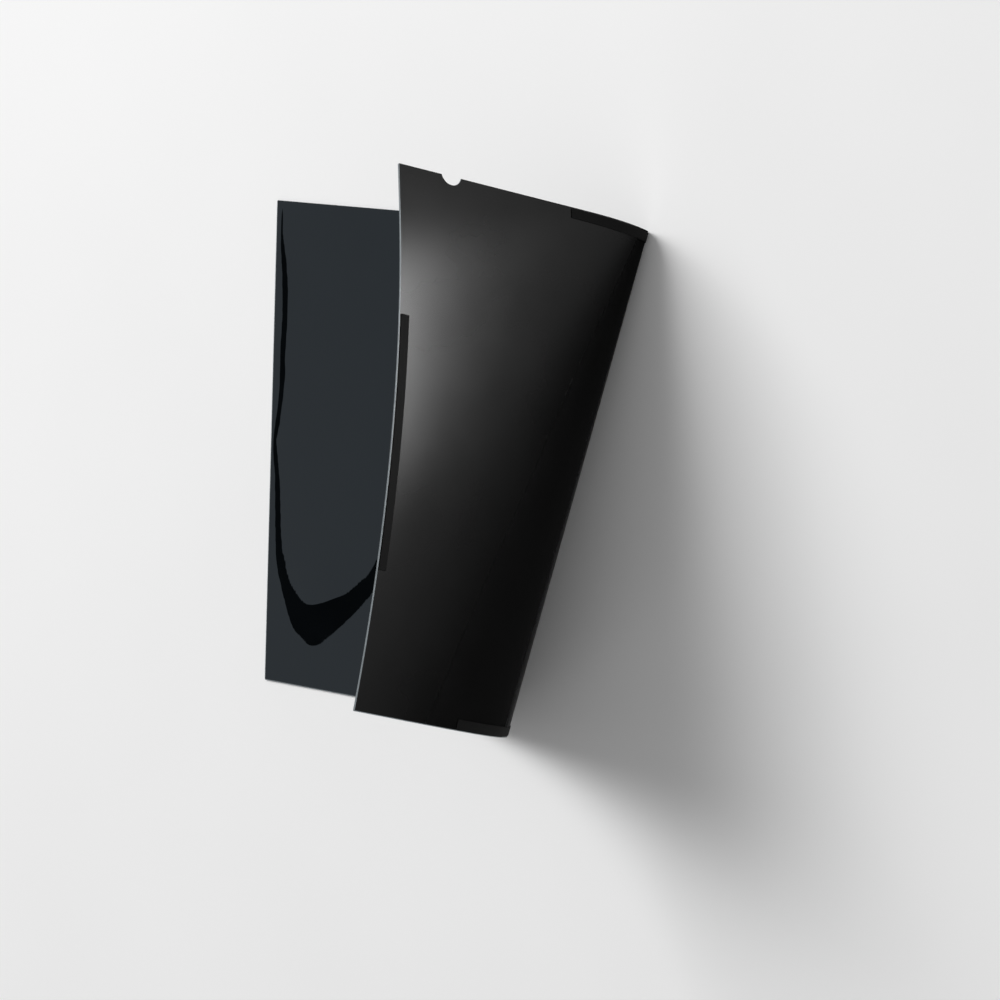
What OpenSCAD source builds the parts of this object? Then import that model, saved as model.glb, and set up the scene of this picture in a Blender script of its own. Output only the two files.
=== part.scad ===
// Monitor privacy filter: one sheet of dark louvre film with adhesive strips on its back.
// The left part lies flat. The right part is peeled up and curls over towards the left.
// Origin: middle of the left strip's sticky face, which stays put while the rest is peeled.
// +X runs along the sheet's width, +Y up its height, +Z out of its front face.

/* [Sheet] */
// Width of the sheet when it lies flat
sheet_w = 518; // [500:1:560]
// Height of the sheet
sheet_h = 324; // [316:1:340]
// Thickness of the film
film_t = 0.8; // [0.4:0.1:1.2]

/* [Thumb notch] */
// Radius of the notch's arc
notch_r = 7.5; // [6:0.5:9]
// How deep the arc reaches below the top edge
notch_depth = 5.5; // [3:0.5:6]
// From the right edge to the middle of the notch
notch_from_right = 39; // [30:1:50]

/* [Adhesive strips] */
// Width of each strip
strip_w = 6; // [4:0.5:10]
// Thickness of each strip
strip_t = 0.5; // [0.3:0.1:1]
// Bare film between a strip and the edge that it follows
strip_inset = 1; // [0.5:0.5:4]
// Length of the strip along the top edge
top_strip_len = 258; // [200:1:300]
// Length of the strip along the bottom edge
bottom_strip_len = 298; // [260:1:320]
// Length of the strips along the left and the right edge
side_strip_len = 150; // [100:1:200]
// How far below the middle the side strips were stuck
side_strip_drop = 5; // [0:1:20]

/* [Bend] */
// Where the bend starts on the bottom edge, from the left edge
bend_from_bottom = 124; // [100:1:150]
// Where the bend starts on the top edge, from the left edge
bend_from_top = 311; // [300:1:330]
// Length of top edge that the bend takes up
bend_top_len = 67; // [50:1:80]
// Height on the right edge where the bend ends
bend_side_end = 299; // [280:1:305]
// How much the fold lines crowd together at the start of the bend on the top edge
fan_power = 2.14; // [1.5:0.01:3]
// Turn that is spread evenly over the bend, in degrees
even_turn = 58.6; // [40:0.1:80]
// Turn that is added in one tighter band, in degrees
band_turn = 71.3; // [40:0.1:90]
// Middle of the tighter band, as a share of the bend
band_middle = 0.133; // [0.1:0.001:0.5]
// Half the width of the tighter band, as a share of the bend
band_half = 0.38; // [0.2:0.01:0.5]
// Number of fold lines that make up the curve
folds = 96; // [40:1:120]

/* [Hidden] */
// Lower ends of the fold lines run along the bottom edge, round the corner and up the right edge
bend_low_len = sheet_w - bend_from_bottom + bend_side_end;
// Each strip as [left, bottom, right, top] on the flat sheet
top_strip_left = (sheet_w - top_strip_len) / 2;
bottom_strip_left = (sheet_w - bottom_strip_len) / 2;
side_strip_low = (sheet_h - side_strip_len) / 2 - side_strip_drop;
far_inset = strip_inset + strip_w;
area_film = [0, 0, sheet_w, sheet_h];
area_left = [strip_inset, side_strip_low, far_inset, side_strip_low + side_strip_len];
area_right = [sheet_w - far_inset, side_strip_low, sheet_w - strip_inset, side_strip_low + side_strip_len];
area_top = [top_strip_left, sheet_h - far_inset, top_strip_left + top_strip_len, sheet_h - strip_inset];
area_bottom = [bottom_strip_left, strip_inset, bottom_strip_left + bottom_strip_len, far_inset];
// Lengths below this count as nothing
tiny = 0.0001;

// A line across the sheet is numbered u. Fold lines are the whole numbers from 0 to folds - 1.
// The flat parts have lines too: from -1 at the left edge, and on to folds at the top right corner.
function share(u) = (u + 0.5) / folds;
function round_corner(d) = d < sheet_w ? [d, 0] : [sheet_w, d - sheet_w];
function fold_low(u) = round_corner(bend_from_bottom + bend_low_len * share(u));
function fold_high(u) = [bend_from_top + bend_top_len * pow(share(u), fan_power), sheet_h];
function mix(a, b, f) = a + (b - a) * f;
function line_low(u) =
    u < 0 ? mix([0, 0], fold_low(0), u + 1) :
    u > folds - 1 ? mix(fold_low(folds - 1), [sheet_w, sheet_h], u - folds + 1) :
    fold_low(u);
function line_high(u) =
    u < 0 ? mix([0, sheet_h], fold_high(0), u + 1) :
    u > folds - 1 ? mix(fold_high(folds - 1), [sheet_w, sheet_h], u - folds + 1) :
    fold_high(u);

// Turn at one fold line: the even share, and the bell of the tighter band
function bell(x) = abs(x) < 1 ? (1 + cos(180 * x)) / 2 : 0;
function fold_turn(j) = (even_turn + band_turn * bell((share(j) - band_middle) / band_half) / band_half) / folds;

// A place is [turn matrix, shift]. Place k carries the flat strip of film between folds k - 1 and k.
function fold_matrix(j) =
    let (way = line_low(j) - line_high(j), r = way / norm(way), c = cos(fold_turn(j)), s = sin(fold_turn(j)))
    [[c + r.x * r.x * (1 - c), r.x * r.y * (1 - c), r.y * s],
     [r.x * r.y * (1 - c), c + r.y * r.y * (1 - c), -r.x * s],
     [-r.y * s, r.x * s, c]];
function flat_point(p) = [p.x, p.y, 0];
function next_place(place, j) =
    let (turn = fold_matrix(j), p = flat_point(line_low(j)))
    [place[0] * turn, place[0] * (p - turn * p) + place[1]];
start_place = [[[1, 0, 0], [0, 1, 0], [0, 0, 1]], [0, 0, 0]];
places = [for (k = 0, m = start_place; k <= folds; m = next_place(m, k), k = k + 1) m];

// Where a point p of line u goes, at height z above the back face
function is_fold(u) = u == floor(u) && u >= 0 && u <= folds - 1;
function place_of(u) = u < 0 ? 0 : is_fold(u) ? u : min(floor(u) + 1, folds);
function normal_of(k) = places[k][0] * [0, 0, 1];
function normal_at(u) =
    is_fold(u) ? (normal_of(u) + normal_of(u + 1)) / (1 + cos(fold_turn(u))) : normal_of(place_of(u));
function bent(p, u, z) =
    let (m = places[place_of(u)])
    m[0] * flat_point(p) + m[1] + z * normal_at(u);

// The line number that passes through a point, by halving
function side(u, p) = cross(line_high(u) - line_low(u), p - line_low(u));
function line_through(p, a = -1, b = folds, n = 45) =
    n == 0 ? (a + b) / 2 :
    side((a + b) / 2, p) < 0 ? line_through(p, (a + b) / 2, b, n - 1) :
    line_through(p, a, (a + b) / 2, n - 1);

// The stretch of line u inside an area, as two shares of its length
function gate(from, way, low, high) =
    abs(way) < tiny ? [0, 1] :
    way > 0 ? [(low - from) / way, (high - from) / way] :
    [(high - from) / way, (low - from) / way];
function inside(u, area) =
    let (low = line_low(u), way = line_high(u) - low)
    let (gx = gate(low.x, way.x, area[0], area[2]), gy = gate(low.y, way.y, area[1], area[3]))
    [max(0, gx[0], gy[0]), min(1, gx[1], gy[1])];
function crossed_length(u, area) =
    let (part = inside(u, area))
    (part[1] - part[0]) * norm(line_high(u) - line_low(u));

// Lines that matter to an area: those through its corners, and each fold line that crosses it
function sorted(list) =
    len(list) < 2 ? list :
    let (mid = list[0])
    concat(sorted([for (v = list) if (v < mid) v]), [mid], sorted([for (v = list) if (v > mid) v]));
function corner_lines(area) =
    [for (x = [area[0], area[2]], y = [area[1], area[3]]) line_through([x, y])];
function stations(area) =
    let (all = sorted(concat(corner_lines(area), [for (j = [0:folds - 1]) if (crossed_length(j, area) > tiny) j])))
    [for (i = [0:len(all) - 1]) if (i == 0 || all[i] - all[i - 1] > tiny) all[i]];

// One area of the sheet as a bent solid, from height z0 to height z1 above the back face
function station_points(u, area, z0, z1) =
    let (part = inside(u, area), low = line_low(u), way = line_high(u) - low)
    let (a = low + way * min(part[0], part[1]), b = low + way * max(part[0], part[1]))
    [bent(a, u, z0), bent(b, u, z0), bent(a, u, z1), bent(b, u, z1)];
// A pointed end has one point instead of two, so its second point is named by the first
function point_number(i, n, pointed) = 4 * i + (pointed[i] ? n - n % 2 : n);
function proper(face) = face[0] != face[1] && face[1] != face[2] && face[0] != face[2];
module bent_area(area, z0, z1) {
    lines = stations(area);
    last = len(lines) - 1;
    pointed = [for (u = lines) crossed_length(u, area) < tiny * 10];
    points = [for (u = lines) each station_points(u, area, z0, z1)];
    // Four corner numbers of each face: back, front, lower side and upper side, then the two ends
    quads = concat(
        [for (i = [0:last - 1], q = [[0, 1, 5, 4], [2, 6, 7, 3], [0, 4, 6, 2], [1, 3, 7, 5]])
            [for (n = q) point_number(i + floor(n / 4), n % 4, pointed)]],
        [[for (n = [0, 2, 3, 1]) point_number(0, n, pointed)]],
        [[for (n = [0, 1, 3, 2]) point_number(last, n, pointed)]]);
    halves = [for (q = quads) each [[q[0], q[1], q[2]], [q[0], q[2], q[3]]]];
    polyhedron(points, [for (f = halves) if (proper(f)) f], convexity = 6);
}

// Places its children on the flat stretch at the end of the bend, which holds the notch
module on_last_stretch() {
    turn = places[folds][0];
    shift = places[folds][1];
    multmatrix([for (r = [0:2]) [turn[r].x, turn[r].y, turn[r].z, shift[r]]]) children();
}

// Moves the sheet's bottom left corner to its place beside the origin, on top of the strips
module from_origin() {
    translate([-(area_left[0] + area_left[2]) / 2, -(area_left[1] + area_left[3]) / 2, strip_t]) children();
}

module film() {
    color([0.1, 0.11, 0.12])
    from_origin()
    difference() {
        bent_area(area_film, 0, film_t);
        on_last_stretch()
        translate([sheet_w - notch_from_right, sheet_h + notch_r - notch_depth, -film_t])
        cylinder(r = notch_r, h = 3 * film_t, $fn = 96);
    }
}

module strip(area) {
    color([0.03, 0.03, 0.03])
    from_origin()
    bent_area(area, -strip_t, 0);
}

film();
strip(area_left);  // strip_left
strip(area_right);  // strip_right
strip(area_top);  // strip_top
strip(area_bottom);  // strip_bottom
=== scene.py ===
import math

import bmesh
import bpy
import numpy as np
from mathutils import Matrix, Vector


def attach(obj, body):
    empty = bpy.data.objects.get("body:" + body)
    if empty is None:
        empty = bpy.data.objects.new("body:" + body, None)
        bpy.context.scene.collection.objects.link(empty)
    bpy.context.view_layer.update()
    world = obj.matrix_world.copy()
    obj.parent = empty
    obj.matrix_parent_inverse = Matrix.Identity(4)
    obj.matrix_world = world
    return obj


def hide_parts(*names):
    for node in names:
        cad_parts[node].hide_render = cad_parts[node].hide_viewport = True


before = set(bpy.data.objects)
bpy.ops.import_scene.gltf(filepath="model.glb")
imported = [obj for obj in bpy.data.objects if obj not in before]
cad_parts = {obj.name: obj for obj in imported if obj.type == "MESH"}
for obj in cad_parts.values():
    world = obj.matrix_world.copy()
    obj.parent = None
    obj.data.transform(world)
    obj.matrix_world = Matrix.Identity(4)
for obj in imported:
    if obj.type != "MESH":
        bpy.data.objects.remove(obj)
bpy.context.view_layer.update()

print("privacy filter: frame loaded")

# The sheet as it was cut, in metres. A place on it is (s, t): from its left edge, and up from its
# bottom edge.
filmSheet = {
    "width": 0.518,
    "height": 0.324,
    "thickness": 0.0008,
    "notchRadius": 0.0075,
    "notchDepth": 0.0055,
    "notchFromRight": 0.039,
    "cornerRadius": 0.0008,
    "cutRounding": 0.0001,      # the die leaves each rim slightly rounded
    "clearMargin": 0.0005,      # the louvres stop short of the cut, so light comes out of the rim
}

# How the right part is peeled up. The film turns a little at each fold line, and the lines fan out.
peel = {
    "startBottom": 0.124,       # where the bend starts on the bottom edge
    "startTop": 0.311,          # and on the top edge
    "topLength": 0.067,         # length of top edge that bends
    "sideEnd": 0.299,           # height on the right edge where the bend ends
    "fanPower": 2.14,
    "evenTurn": 58.6,           # degrees, spread over all lines
    "bandTurn": 71.3,           # degrees, in one tighter band
    "bandMiddle": 0.133,
    "bandHalf": 0.38,
    "foldLines": 384,
    "sheetCorner": (-0.004, -0.157, 0.0005),    # bottom left corner of the film's back
}

# How finely curves are cut up
meshing = {
    "cornerSteps": 4,
    "notchSteps": 40,
    "rimSegments": 2,
    "smoothBelow": 12,          # degrees; sharper edges stay crisp
    "flatNormal": 0.9,          # faces with this much upward normal belong to the sheet's two sides
    # Cuts through the part that lies flat, in mm: first cut, distance, number of cuts
    "cutsAcross": [(2, 0.6, 22), (16, 1.5, 60), (108, 6, 30)],
    "cutsUpwards": [(24, 1.5, 48), (98, 3, 75)],
}

# Adhesive strips: left, bottom, right and top of each on the flat sheet, in metres
adhesiveStrips = {
    "thickness": 0.0005,
    "cornerRadius": 0.0005,
    "edgeRounding": 0.00008,
    "areas": {
        "strip_left": (0.001, 0.082, 0.007, 0.232),
        "strip_right": (0.511, 0.082, 0.517, 0.232),
        "strip_top": (0.130, 0.317, 0.388, 0.323),
        "strip_bottom": (0.110, 0.001, 0.408, 0.007),
    },
}

# Where the peeling has already loosened the flat part, it stands up in a shallow blister.
# Each line: foot of the blister's rim, top of the rim, and the height there, all in mm on the flat sheet.
blister = {
    "rim": [
        ((5.0, 301), (5.6, 301), 0.1), ((4.6, 295), (7, 295), 0.3), ((6.5, 280), (10, 280), 0.45),
        ((7.5, 262), (12, 262), 0.6), ((8, 245), (12, 245), 0.6), ((7, 222), (11, 222), 0.55),
        ((7.3, 205), (11, 205), 0.5), ((6, 188), (9.3, 188), 0.45), ((4, 174), (7, 174), 0.4),
        ((2.8, 164), (4.2, 164), 0.25), ((3, 154), (6, 154), 0.4), ((5, 140), (8.3, 140), 0.45),
        ((6, 122), (10, 122), 0.5), ((7, 100), (11.3, 100), 0.6), ((8, 84), (15, 82), 0.8),
        ((12, 70), (19, 71), 1.0), ((17, 57), (24, 64), 1.2), ((24, 40), (31, 58.5), 1.5),
        ((32, 32), (38, 57), 1.7), ((40, 28), (44, 57.5), 1.7), ((50, 30.5), (53, 60), 1.7),
        ((61, 39), (60, 63), 1.6), ((75, 51), (74, 69), 1.3), ((88, 64), (85, 77.5), 1.1),
        ((100, 78), (96, 88), 1.0), ((112, 92), (104, 107), 0.8), ((130, 118), (110, 140), 0.65),
        ((155, 158), (115, 180), 0.5), ((180, 200), (118, 220), 0.35), ((205, 250), (120, 265), 0.2),
        ((235, 324), (120, 324), 0.05),
    ],
    "close": [(5, 330)],        # the far half of the rim is hidden under the flap
    "fadeTop": 30,              # it runs out this far below the top edge
    "fadeFold": 50,             # and this far before the first fold line
    "samples": 10,              # points between two lines of the rim
    "softness": 0.5,            # square mm; spreads the height out between the tops of the rim
}


def foldEnds(j):
    share = (j + 0.5) / peel["foldLines"]
    width, height = filmSheet["width"], filmSheet["height"]
    along = peel["startBottom"] + (width - peel["startBottom"] + peel["sideEnd"]) * share
    low = Vector((along, 0, 0)) if along < width else Vector((width, along - width, 0))
    high = Vector((peel["startTop"] + peel["topLength"] * share ** peel["fanPower"], height, 0))
    return low, high


def foldTurn(j):
    x = ((j + 0.5) / peel["foldLines"] - peel["bandMiddle"]) / peel["bandHalf"]
    bell = (1 + math.cos(math.pi * x)) / 2 if abs(x) < 1 else 0
    return math.radians(peel["evenTurn"] + peel["bandTurn"] * bell / peel["bandHalf"]) / peel["foldLines"]


folds = [foldEnds(j) for j in range(peel["foldLines"])]
places = [Matrix.Translation(Vector(peel["sheetCorner"]))]     # one for each stretch between two folds
for j, (low, high) in enumerate(folds):
    turn = Matrix.Rotation(foldTurn(j), 4, (low - high).normalized())
    places.append(places[-1] @ Matrix.Translation(low) @ turn @ Matrix.Translation(-low))


def isPastFold(j, point):
    low, high = folds[j]
    return (high.x - low.x) * (point.y - low.y) - (high.y - low.y) * (point.x - low.x) < 0


def bendPoint(point):
    first, last = 0, len(folds)
    while first < last:
        middle = (first + last) // 2
        if isPastFold(middle, point):
            first = middle + 1
        else:
            last = middle
    return places[first] @ point


# A smooth curve through the points (Catmull-Rom)
def samplesAlong(line):
    points = np.array([line[0]] + list(line) + [line[-1]], dtype=float)
    samples = []
    for a, b, c, d in zip(points, points[1:], points[2:], points[3:]):
        for step in range(blister["samples"]):
            f = step / blister["samples"]
            bow = 2 * a - 5 * b + 4 * c - d + f * (3 * (b - c) + d - a)
            samples.append(b + f / 2 * (c - a + f * bow))
    return np.array(samples + [points[-1]])


def isInside(spots, outline):
    inside = np.zeros(len(spots), dtype=bool)
    x, y = spots[:, 0], spots[:, 1]
    for (x1, y1), (x2, y2) in zip(outline, outline[1:] + outline[:1]):
        if y1 != y2:
            crosses = (y1 > y) != (y2 > y)
            inside ^= crosses & (x < x1 + (y - y1) * (x2 - x1) / (y2 - y1))
    return inside


# Height of the blister, in metres, at spots on the flat sheet that are given in mm
def blisterLift(spots):
    foot = samplesAlong([rim[0] for rim in blister["rim"]])
    top = samplesAlong([rim[1] + (rim[2],) for rim in blister["rim"]])
    toFoot = np.linalg.norm(spots[:, None] - foot[None], axis=2).min(axis=1)
    toTop = np.linalg.norm(spots[:, None] - top[None, :, :2], axis=2)
    weights = 1 / (toTop ** 2 + blister["softness"])
    height = (weights * top[None, :, 2]).sum(axis=1) / weights.sum(axis=1)
    nearTop = toTop.min(axis=1)
    share = toFoot / (toFoot + nearTop + 1e-9)
    inFoot = isInside(spots, foot.tolist() + blister["close"])
    inTop = isInside(spots, top[:, :2].tolist() + blister["close"])
    share = np.where(inTop, 1.0, np.where(inFoot, share, 0.0))
    foldLow, foldHigh = (np.array(end[:2]) * 1000 for end in folds[0])
    way = (foldHigh - foldLow) / np.linalg.norm(foldHigh - foldLow)
    beforeFold = way[0] * (spots[:, 1] - foldLow[1]) - way[1] * (spots[:, 0] - foldLow[0])
    fade = np.clip(beforeFold / blister["fadeFold"], 0, 1)
    fade *= np.clip((filmSheet["height"] * 1000 - spots[:, 1]) / blister["fadeTop"], 0, 1)
    fade = fade * fade * (3 - 2 * fade)
    return 0.001 * height * share * fade


def roundedOutline(area, radius):
    left, bottom, right, top = area
    corners = [(right - radius, bottom + radius, -90), (right - radius, top - radius, 0),
               (left + radius, top - radius, 90), (left + radius, bottom + radius, 180)]
    steps = meshing["cornerSteps"]
    points = []
    for x, y, start in corners:
        for step in range(steps + 1):
            angle = math.radians(start + 90 * step / steps)
            points.append((x + radius * math.cos(angle), y + radius * math.sin(angle)))
    return points


def notchOutline():
    middle = filmSheet["width"] - filmSheet["notchFromRight"]
    radius = filmSheet["notchRadius"]
    above = radius - filmSheet["notchDepth"]
    half = math.acos(above / radius)
    steps = meshing["notchSteps"]
    angles = [half - 2 * half * step / steps for step in range(steps + 1)]
    centre = filmSheet["height"] + above
    return [(middle + radius * math.sin(a), centre - radius * math.cos(a)) for a in angles]


def cutAcross(mesh, point, normal, faces=None):
    if faces is None:
        parts = mesh.verts[:] + mesh.edges[:] + mesh.faces[:]
    else:
        edges = {edge for face in faces for edge in face.edges}
        parts = list(edges | {vert for face in faces for vert in face.verts}) + faces
    cut = bmesh.ops.bisect_plane(mesh, geom=parts, dist=1e-7, plane_co=point, plane_no=normal)
    return cut["geom"]


def isOnFlatPart(face):
    middle = face.calc_center_median()
    isLevel = abs(face.normal.z) > meshing["flatNormal"]
    return isLevel and not isPastFold(0, middle) and min(middle.x, middle.y) > filmSheet["clearMargin"]


# A fine grid on the part that lies flat, close where the blister's rim is narrow
def cutFlatGrid(mesh):
    faces = [face for face in mesh.faces if isOnFlatPart(face)]
    ways = {"cutsAcross": Vector((1, 0, 0)), "cutsUpwards": Vector((0, 1, 0))}
    for key, way in ways.items():
        for first, gap, count in meshing[key]:
            for step in range(count):
                parts = cutAcross(mesh, way * ((first + gap * step) / 1000), way, faces)
                faces = [part for part in parts if isinstance(part, bmesh.types.BMFace)]


def raiseBlister(mesh):
    verts = [vert for vert in mesh.verts if not isPastFold(0, vert.co)]
    lifts = blisterLift(np.array([(vert.co.x, vert.co.y) for vert in verts]) * 1000)
    for vert, lift in zip(verts, lifts):
        vert.co.z += lift


def cutAlongFolds(mesh):
    low = Vector((min(v.co.x for v in mesh.verts), min(v.co.y for v in mesh.verts), 0))
    high = Vector((max(v.co.x for v in mesh.verts), max(v.co.y for v in mesh.verts), 0))
    corners = [low, high, Vector((low.x, high.y, 0)), Vector((high.x, low.y, 0))]
    for j, (foldLow, foldHigh) in enumerate(folds):
        if len({isPastFold(j, corner) for corner in corners}) == 2:
            way = foldHigh - foldLow
            cutAcross(mesh, foldLow, Vector((way.y, -way.x, 0)))


# A flat plate cut out of sheet, with rounded rims. It is bent afterwards.
def flatPlate(outline, bottomHeight, topHeight, rounding):
    mesh = bmesh.new()
    rim = [mesh.verts.new((x, y, bottomHeight)) for x, y in outline]
    back = mesh.faces.new(rim)
    lifted = bmesh.ops.extrude_face_region(mesh, geom=[back])["geom"]
    for vert in [part for part in lifted if isinstance(part, bmesh.types.BMVert)]:
        vert.co.z = topHeight
    bmesh.ops.recalc_face_normals(mesh, faces=mesh.faces)
    rims = [edge for edge in mesh.edges if abs(edge.verts[0].co.z - edge.verts[1].co.z) < 1e-7]
    bmesh.ops.bevel(mesh, geom=rims, offset=rounding, segments=meshing["rimSegments"],
                    profile=0.5, affect="EDGES")
    return mesh


# Keeps the flat place of each point as its UV, then bends the plate and makes an object of it
def bentPiece(name, mesh, materials, materialOf, hasBlister=False):
    mesh.normal_update()
    flatPlace = mesh.loops.layers.uv.new("sheetPlace")
    for face in mesh.faces:
        face.smooth = True
        face.material_index = materialOf(face)
        for loop in face.loops:
            loop[flatPlace].uv = (loop.vert.co.x, loop.vert.co.y)
    for edge in mesh.edges:
        edge.smooth = edge.calc_face_angle(0) < math.radians(meshing["smoothBelow"])
    if hasBlister:
        raiseBlister(mesh)
    for vert in mesh.verts:
        vert.co = bendPoint(vert.co)
    data = bpy.data.meshes.new(name)
    mesh.to_mesh(data)
    mesh.free()
    for material in materials:
        data.materials.append(material)
    piece = bpy.data.objects.new(name, data)
    bpy.context.scene.collection.objects.link(piece)
    return piece


def linearColour(hexText):
    values = [int(hexText[i:i + 2], 16) / 255 for i in (1, 3, 5)]
    return [v / 12.92 if v <= 0.04045 else ((v + 0.055) / 1.055) ** 2.4 for v in values] + [1]


# Adds one node. Settings are attributes, or input names with a value or an output socket to link.
def addNode(material, kind, place=(0, 0), attributes=None, **inputs):
    node = material.node_tree.nodes.new(kind)
    node.location = place
    for key, value in (attributes or {}).items():
        setattr(node, key, value)
    for key, value in inputs.items():
        isNumbered = key.startswith("input")
        socket = node.inputs[int(key[5:]) if isNumbered else key.replace("_", " ")]
        if isinstance(value, bpy.types.NodeSocket):
            material.node_tree.links.new(value, socket)
        else:
            socket.default_value = value
    return node


def newMaterial(name):
    material = bpy.data.materials.new(name)
    material.use_nodes = True
    material.node_tree.nodes.clear()
    return material


filmFront = {
    "colour": "#020304",
    "dustColour": "#070A0C",
    "coatTint": "#DAEEFF",
    "ior": 1.5,
    "roughness": (0.02, 0.05),
    "smudgeSize": 0.05,
    "waveSize": 0.09,           # metres between the soft waves of a film that lies on four strips
    "waveHeight": 0.00006,
    "louvrePitch": 0.0024,
    "louvreHeight": 0.00001,
}


# Hard-coated PET film, cast smooth: glossy, dark and slightly blue, with soft waves in its reflections
def coatedFilmMaterial():
    material = newMaterial("hardCoatedFilm")
    coords = addNode(material, "ShaderNodeUVMap", (-1200, 0), {"uv_map": "sheetPlace"})
    smudges = addNode(material, "ShaderNodeTexNoise", (-900, 200), Vector=coords.outputs[0],
                      Scale=1 / filmFront["smudgeSize"], Detail=4.0, Roughness=0.55)
    smudgeRoughness = addNode(material, "ShaderNodeMapRange", (-600, 200), Value=smudges.outputs[0],
                              From_Min=0.35, From_Max=0.7, To_Min=filmFront["roughness"][0],
                              To_Max=filmFront["roughness"][1])
    # Real louvres stand 0.05 mm apart, too fine to show, so their faint lines are drawn 2.4 mm apart
    louvres = addNode(material, "ShaderNodeTexWave", (-900, -100),
                      {"wave_type": "BANDS", "bands_direction": "X", "wave_profile": "SIN"},
                      Vector=coords.outputs[0], Scale=0.314 / filmFront["louvrePitch"], Distortion=0.0)
    tint = addNode(material, "ShaderNodeMix", (-600, 0), {"data_type": "RGBA"},
                   input0=smudges.outputs[0], input6=linearColour(filmFront["colour"]),
                   input7=linearColour(filmFront["dustColour"]))
    waves = addNode(material, "ShaderNodeTexNoise", (-900, -400), Vector=coords.outputs[0],
                    Scale=1 / filmFront["waveSize"], Detail=1.0)
    waveBump = addNode(material, "ShaderNodeBump", (-500, -400), Strength=1.0,
                       Distance=filmFront["waveHeight"], Height=waves.outputs[0])
    louvreBump = addNode(material, "ShaderNodeBump", (-300, -300), Strength=0.15,
                         Distance=filmFront["louvreHeight"],
                         Height=louvres.outputs[1], Normal=waveBump.outputs[0])
    shader = addNode(material, "ShaderNodeBsdfPrincipled", (0, 0), Base_Color=tint.outputs[2],
                     Roughness=smudgeRoughness.outputs[0], Normal=louvreBump.outputs[0])
    shader.inputs["IOR"].default_value = filmFront["ior"]
    shader.inputs["Specular Tint"].default_value = linearColour(filmFront["coatTint"])
    addNode(material, "ShaderNodeOutputMaterial", (300, 0), Surface=shader.outputs[0])
    return material


filmBack = {
    "colour": "#262626",
    "hazeColour": "#2B2B2B",
    "flatAngleTint": "#626264",
    "roughness": (0.26, 0.30),
    "hazeSize": 0.07,
    "grain": 0.0009,
    "grainHeight": 0.00002,
    "dustSheen": 0.02,
    "dustRoughness": 0.5,
}


# PET film with a fine matte emboss against glare: black, with a soft satin sheen
def matteFilmMaterial():
    material = newMaterial("matteEmbossedFilm")
    coords = addNode(material, "ShaderNodeUVMap", (-1200, 0), {"uv_map": "sheetPlace"})
    haze = addNode(material, "ShaderNodeTexNoise", (-900, 200), Vector=coords.outputs[0],
                   Scale=1 / filmBack["hazeSize"], Detail=3.0, Roughness=0.5)
    hazeRoughness = addNode(material, "ShaderNodeMapRange", (-600, 200), Value=haze.outputs[0],
                            From_Min=0.3, From_Max=0.7, To_Min=filmBack["roughness"][0],
                            To_Max=filmBack["roughness"][1])
    # The emboss is about 0.03 mm fine, too fine to show, so it is drawn as a 0.9 mm grain
    grain = addNode(material, "ShaderNodeTexNoise", (-900, -100), Vector=coords.outputs[0],
                    Scale=1 / filmBack["grain"], Detail=2.0)
    tint = addNode(material, "ShaderNodeMix", (-600, 0), {"data_type": "RGBA"},
                   input0=haze.outputs[0], input6=linearColour(filmBack["colour"]),
                   input7=linearColour(filmBack["hazeColour"]))
    grainBump = addNode(material, "ShaderNodeBump", (-500, -300), Strength=0.25,
                        Distance=filmBack["grainHeight"], Height=grain.outputs[0])
    shader = addNode(material, "ShaderNodeBsdfPrincipled", (0, 0), Base_Color=tint.outputs[2],
                     Roughness=hazeRoughness.outputs[0], Normal=grainBump.outputs[0])
    # As a metal, its tint can keep the pale floor dark at flat angles, as the coat against glare does
    shader.inputs["Metallic"].default_value = 1.0
    shader.inputs["Sheen Weight"].default_value = filmBack["dustSheen"]
    shader.inputs["Sheen Roughness"].default_value = filmBack["dustRoughness"]
    shader.inputs["Specular Tint"].default_value = linearColour(filmBack["flatAngleTint"])
    addNode(material, "ShaderNodeOutputMaterial", (300, 0), Surface=shader.outputs[0])
    return material


cutEdge = {
    "colour": "#7E8588",
    "dullColour": "#60666A",
    "roughness": 0.45,
    "ior": 1.4,
    "streak": 0.004,
    "streakHeight": 0.00002,
}


# Die-cut PET: the clear layers glow pale grey at the cut, with faint streaks from the blade
def dieCutEdgeMaterial():
    material = newMaterial("dieCutEdge")
    coords = addNode(material, "ShaderNodeUVMap", (-900, 0), {"uv_map": "sheetPlace"})
    streaks = addNode(material, "ShaderNodeTexNoise", (-700, 0), Vector=coords.outputs[0],
                      Scale=1 / cutEdge["streak"], Detail=3.0)
    tint = addNode(material, "ShaderNodeMix", (-400, 0), {"data_type": "RGBA"},
                   input0=streaks.outputs[0], input6=linearColour(cutEdge["dullColour"]),
                   input7=linearColour(cutEdge["colour"]))
    bump = addNode(material, "ShaderNodeBump", (-300, -250), Strength=0.2,
                   Distance=cutEdge["streakHeight"], Height=streaks.outputs[0])
    shader = addNode(material, "ShaderNodeBsdfPrincipled", (0, 0), Base_Color=tint.outputs[2],
                     Normal=bump.outputs[0])
    shader.inputs["Roughness"].default_value = cutEdge["roughness"]
    shader.inputs["IOR"].default_value = cutEdge["ior"]
    addNode(material, "ShaderNodeOutputMaterial", (300, 0), Surface=shader.outputs[0])
    return material


tape = {
    "colour": "#030303",
    "wornColour": "#080808",
    "ior": 1.15,                # low, since the open face hardly mirrors anything
    "roughness": (0.6, 0.7),
    "grain": 0.0015,
    "grainHeight": 0.00005,
}


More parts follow.
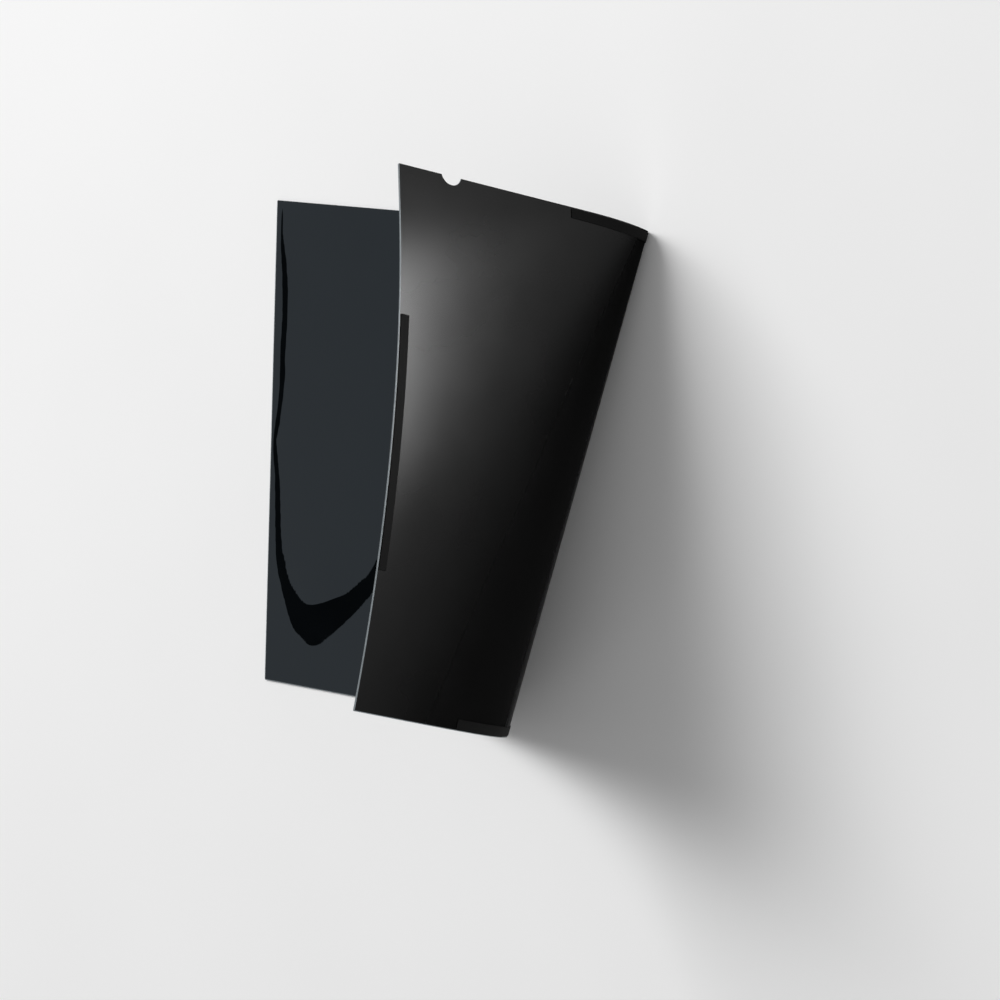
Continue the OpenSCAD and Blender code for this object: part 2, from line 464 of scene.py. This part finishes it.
# Double-sided acrylic foam tape: black, dull, with a slightly uneven sticky face
def adhesiveTapeMaterial():
    material = newMaterial("acrylicTape")
    coords = addNode(material, "ShaderNodeUVMap", (-1000, 0), {"uv_map": "sheetPlace"})
    cells = addNode(material, "ShaderNodeTexNoise", (-800, 0), Vector=coords.outputs[0],
                    Scale=1 / tape["grain"], Detail=3.0)
    tint = addNode(material, "ShaderNodeMix", (-400, 0), {"data_type": "RGBA"},
                   input0=cells.outputs[0], input6=linearColour(tape["colour"]),
                   input7=linearColour(tape["wornColour"]))
    dullness = addNode(material, "ShaderNodeMapRange", (-400, 200), Value=cells.outputs[0],
                       To_Min=tape["roughness"][0], To_Max=tape["roughness"][1])
    bump = addNode(material, "ShaderNodeBump", (-400, -250), Strength=0.4,
                   Distance=tape["grainHeight"], Height=cells.outputs[0])
    shader = addNode(material, "ShaderNodeBsdfPrincipled", (0, 0), Base_Color=tint.outputs[2],
                     Roughness=dullness.outputs[0], Normal=bump.outputs[0])
    shader.inputs["IOR"].default_value = tape["ior"]
    addNode(material, "ShaderNodeOutputMaterial", (300, 0), Surface=shader.outputs[0])
    return material


def filmMaterialNumber(face):
    middle = face.calc_center_median()
    margin = filmSheet["clearMargin"]
    nearCut = middle.x > filmSheet["width"] - margin or min(middle.x, middle.y) < margin
    if nearCut or abs(face.normal.z) < meshing["flatNormal"]:
        return 2
    return 0 if face.normal.z > 0 else 1


def buildFilm():
    outline = roundedOutline((0, 0, filmSheet["width"], filmSheet["height"]), filmSheet["cornerRadius"])
    outline = outline[:10] + notchOutline() + outline[10:]
    mesh = flatPlate(outline, 0, filmSheet["thickness"], filmSheet["cutRounding"])
    margin = filmSheet["clearMargin"]
    cutAcross(mesh, Vector((margin, 0, 0)), Vector((1, 0, 0)))
    cutAcross(mesh, Vector((filmSheet["width"] - margin, 0, 0)), Vector((1, 0, 0)))
    cutAcross(mesh, Vector((0, margin, 0)), Vector((0, 1, 0)))
    cutAlongFolds(mesh)
    cutFlatGrid(mesh)
    materials = [coatedFilmMaterial(), matteFilmMaterial(), dieCutEdgeMaterial()]
    film = bentPiece("privacyFilm", mesh, materials, filmMaterialNumber, hasBlister=True)
    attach(film, "root")
    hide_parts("film")
    print("film bent:", len(film.data.polygons), "faces")


def buildStrips():
    material = adhesiveTapeMaterial()
    for node, area in adhesiveStrips["areas"].items():
        outline = roundedOutline(area, adhesiveStrips["cornerRadius"])
        mesh = flatPlate(outline, -adhesiveStrips["thickness"], 0, adhesiveStrips["edgeRounding"])
        cutAlongFolds(mesh)
        strip = bentPiece(node.replace("strip_", "tape_"), mesh, [material], lambda face: 0)
        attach(strip, "root")
        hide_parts(node)
    print("adhesive strips bent")


floorPaper = {
    "colour": "#F6F6F6",
    "spotColour": "#F2F2F2",
    "spotScale": 6.0,
    "roughness": 0.9,
    "mirroring": 0.2,
    "size": 24.0,
}


# Seamless studio paper: matt and pale, with hardly visible mottling
def buildFloor():
    material = newMaterial("studioPaper")
    coords = addNode(material, "ShaderNodeTexCoord", (-900, 0))
    mottling = addNode(material, "ShaderNodeTexNoise", (-700, 0), Vector=coords.outputs["Object"],
                       Scale=floorPaper["spotScale"])
    tint = addNode(material, "ShaderNodeMix", (-400, 0), {"data_type": "RGBA"},
                   input0=mottling.outputs[0], input6=linearColour(floorPaper["colour"]),
                   input7=linearColour(floorPaper["spotColour"]))
    shader = addNode(material, "ShaderNodeBsdfPrincipled", (0, 0), Base_Color=tint.outputs[2])
    shader.inputs["Roughness"].default_value = floorPaper["roughness"]
    shader.inputs["Specular IOR Level"].default_value = floorPaper["mirroring"]
    addNode(material, "ShaderNodeOutputMaterial", (300, 0), Surface=shader.outputs[0])
    half = floorPaper["size"] / 2
    data = bpy.data.meshes.new("studioFloor")
    corners = [(-half, -half, 0), (half, -half, 0), (half, half, 0), (-half, half, 0)]
    data.from_pydata(corners, [], [(0, 1, 2, 3)])
    data.materials.append(material)
    floor = bpy.data.objects.new("studioFloor", data)
    bpy.context.scene.collection.objects.link(floor)


studio = {
    "airStrength": 0.44,
    "darkStrength": 0.015,      # black cloth round the reflector card
    "clothSide": (-0.640, -0.135, 0.756),
    "clothAngle": (26, 34),
    "lamps": {
        # place, aim, width and height in metres, watts, spread in degrees
        "keySoftbox": ((-1.35, 2.3, 3.57), (0.20, 0.0, 0.05), (2.4, 2.4), 156.0, 180),
        "lowStrip": ((0.66, 0.19, 0.037), (0.32, 0.07, 0.42), (0.30, 0.05), 0.95, 110),
    },
    "card": {"distance": 6.0, "photoBox": (130, 10, 540, 790), "strength": 0.64},
}


def buildWorld():
    world = bpy.data.worlds.new("studioAir")
    world.use_nodes = True
    world.node_tree.nodes.clear()
    way = addNode(world, "ShaderNodeTexCoord", (-900, 0))
    towardsCloth = addNode(world, "ShaderNodeVectorMath", (-700, 0), {"operation": "DOT_PRODUCT"},
                           input0=way.outputs["Generated"], input1=Vector(studio["clothSide"]).normalized())
    inner, outer = (math.cos(math.radians(angle)) for angle in studio["clothAngle"])
    strength = addNode(world, "ShaderNodeMapRange", (-450, 0), {"interpolation_type": "SMOOTHSTEP"},
                       Value=towardsCloth.outputs["Value"], From_Min=outer, From_Max=inner,
                       To_Min=studio["airStrength"], To_Max=studio["darkStrength"])
    air = addNode(world, "ShaderNodeBackground", (-200, 0), Color=(1, 1, 1, 1),
                  Strength=strength.outputs[0])
    addNode(world, "ShaderNodeOutputWorld", (0, 0), Surface=air.outputs[0])
    bpy.context.scene.world = world


# The card stands where the flat part mirrors it to the camera
def buildCard():
    card = studio["card"]
    across, up, ahead, eye = (Vector(photoCamera[key]) for key in ("right", "up", "forward", "place"))
    mirrored = [Vector((v.x, v.y, -v.z)) for v in (across, up, ahead, eye)]
    depth = eye.z / -ahead.z + card["distance"]
    focalPixels = photoCamera["lens"] / photoCamera["sensor"] * photoCamera["pixels"]
    left, top, right, bottom = ((pixel - photoCamera["pixels"] / 2) / focalPixels * depth
                                for pixel in card["photoBox"])
    middle = mirrored[3] + mirrored[2] * depth
    middle += mirrored[0] * (left + right) / 2 - mirrored[1] * (top + bottom) / 2
    light = bpy.data.lights.new("reflectorCard", "AREA")
    light.shape = "RECTANGLE"
    light.size, light.size_y = right - left, bottom - top
    light.energy = card["strength"] * math.pi * light.size * light.size_y
    lamp = bpy.data.objects.new("reflectorCard", light)
    axes = Matrix((mirrored[0], mirrored[1], mirrored[2])).transposed()
    lamp.matrix_world = Matrix.Translation(middle) @ axes.to_4x4()
    lamp.visible_camera = False
    bpy.context.scene.collection.objects.link(lamp)


def buildLamps():
    for name, (place, aim, size, watts, spread) in studio["lamps"].items():
        light = bpy.data.lights.new(name, "AREA")
        light.shape = "RECTANGLE"
        light.size, light.size_y = size
        light.energy = watts
        light.spread = math.radians(spread)
        lamp = bpy.data.objects.new(name, light)
        lamp.location = place
        lamp.rotation_euler = (Vector(aim) - Vector(place)).to_track_quat("-Z", "Y").to_euler()
        lamp.visible_camera = False
        bpy.context.scene.collection.objects.link(lamp)


photoCamera = {
    "lens": 144.0,              # mm, as is the sensor
    "sensor": 36.0,
    "pixels": 1000,             # width and height of the picture
    "near": 0.1,
    "far": 60.0,
    "place": (1.81786, 0.32337, 1.95279),
    "right": (0.7661, 0.0334, -0.6419),
    "up": (-0.1097, 0.9908, -0.0793),
    "forward": (-0.6333, -0.1311, -0.7627),
}


def buildCamera():
    data = bpy.data.cameras.new("photoCamera")
    data.lens = photoCamera["lens"]
    data.sensor_width = photoCamera["sensor"]
    data.clip_start = photoCamera["near"]
    data.clip_end = photoCamera["far"]
    camera = bpy.data.objects.new("photoCamera", data)
    backwards = [-v for v in photoCamera["forward"]]
    axes = Matrix((photoCamera["right"], photoCamera["up"], backwards)).transposed()
    camera.matrix_world = Matrix.Translation(photoCamera["place"]) @ axes.to_4x4()
    bpy.context.scene.collection.objects.link(camera)
    bpy.context.scene.camera = camera


buildCamera()
buildFilm()
buildStrips()
buildFloor()
buildWorld()
buildLamps()
buildCard()
bpy.context.scene.view_settings.view_transform = "Standard"
print("floor, lamps and camera placed")
